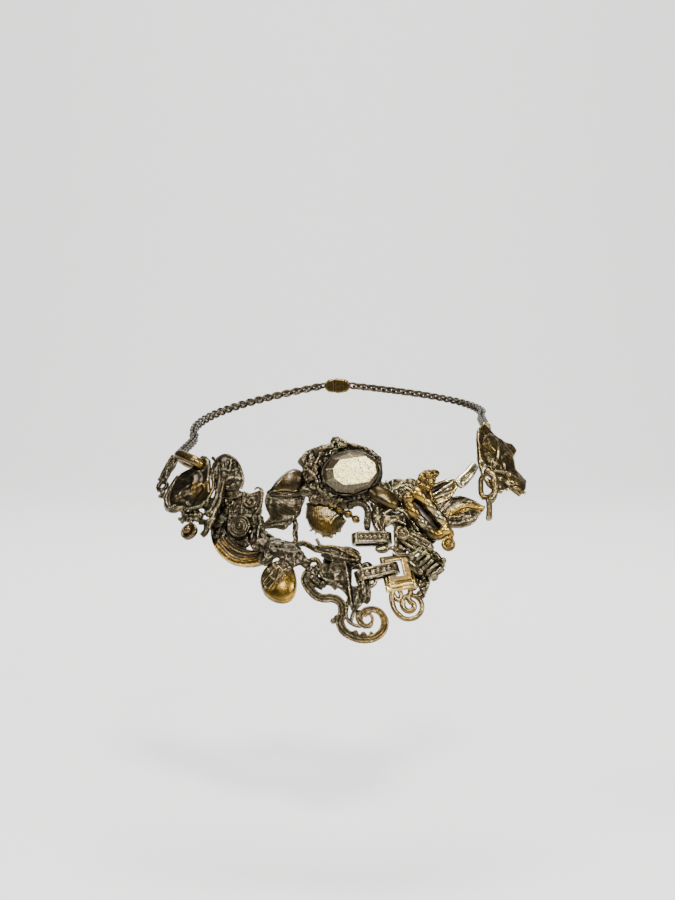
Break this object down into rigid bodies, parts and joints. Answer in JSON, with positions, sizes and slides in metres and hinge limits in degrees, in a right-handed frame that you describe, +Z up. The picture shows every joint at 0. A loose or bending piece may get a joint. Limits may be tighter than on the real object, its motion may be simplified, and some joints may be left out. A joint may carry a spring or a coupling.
{
  "type": "collar choker necklace",
  "caption": "Cast antique-bronze collar choker: layered leaves, scrolls, rings and plates round a large faceted stone, closed by a curb chain; a rigid front piece worn at the base of the neck.",
  "frame": {"origin": "on the axis of the neck that the collar is worn on, level with the middle of its front", "axes": "+Z up along the neck, -Y out of the front of the neck, +X towards the shoulder leaf"},
  "size_m": [0.1471, 0.1555, 0.0945],
  "materials": {
    "dark_bronze": "antique patina, dark in the recesses and worn on the ridges",
    "worn_brass": "worn satin",
    "gilt_stone": "faceted, pale gold with dark specks"
  },
  "bodies": {
    "root": {"petal_plate": "dark_bronze", "twisted_loop": "dark_bronze", "left_ring": "worn_brass", "pebble_cluster": "dark_bronze", "ball_button": "worn_brass", "engraved_leaf": "dark_bronze", "filigree_panel": "dark_bronze", "ringed_button": "dark_bronze", "crescent": "worn_brass", "shell_leaf": "dark_bronze", "stone": "gilt_stone", "stone_setting": "dark_bronze", "shield": "worn_brass", "bead_row": "worn_brass", "ribbed_arc": "dark_bronze", "smooth_link": "worn_brass", "twig": "dark_bronze", "knot": "dark_bronze", "scored_drop": "worn_brass", "branch": "dark_bronze", "ridge_leaf": "worn_brass", "flower": "dark_bronze", "stem": "dark_bronze", "great_scroll": "worn_brass", "inner_scroll": "dark_bronze", "bark_plate": "dark_bronze", "long_link": "worn_brass", "snail_boss": "worn_brass", "scroll_pin": "dark_bronze", "coil": "dark_bronze", "bark_tip": "dark_bronze", "buckle": "worn_brass", "hoop_scroll": "worn_brass", "upper_strap": "dark_bronze", "lower_strap": "dark_bronze", "gold_bud": "worn_brass", "upper_leaf": "dark_bronze", "lower_leaf": "dark_bronze", "bright_bar": "worn_brass", "shoulder_ring": "worn_brass", "shoulder_leaf": "dark_bronze", "chain_left_side": "dark_bronze", "chain_left_nape": "dark_bronze", "chain_right_side": "dark_bronze", "chain_right_nape": "dark_bronze", "clasp": "worn_brass"}
  },
  "joints": []
}
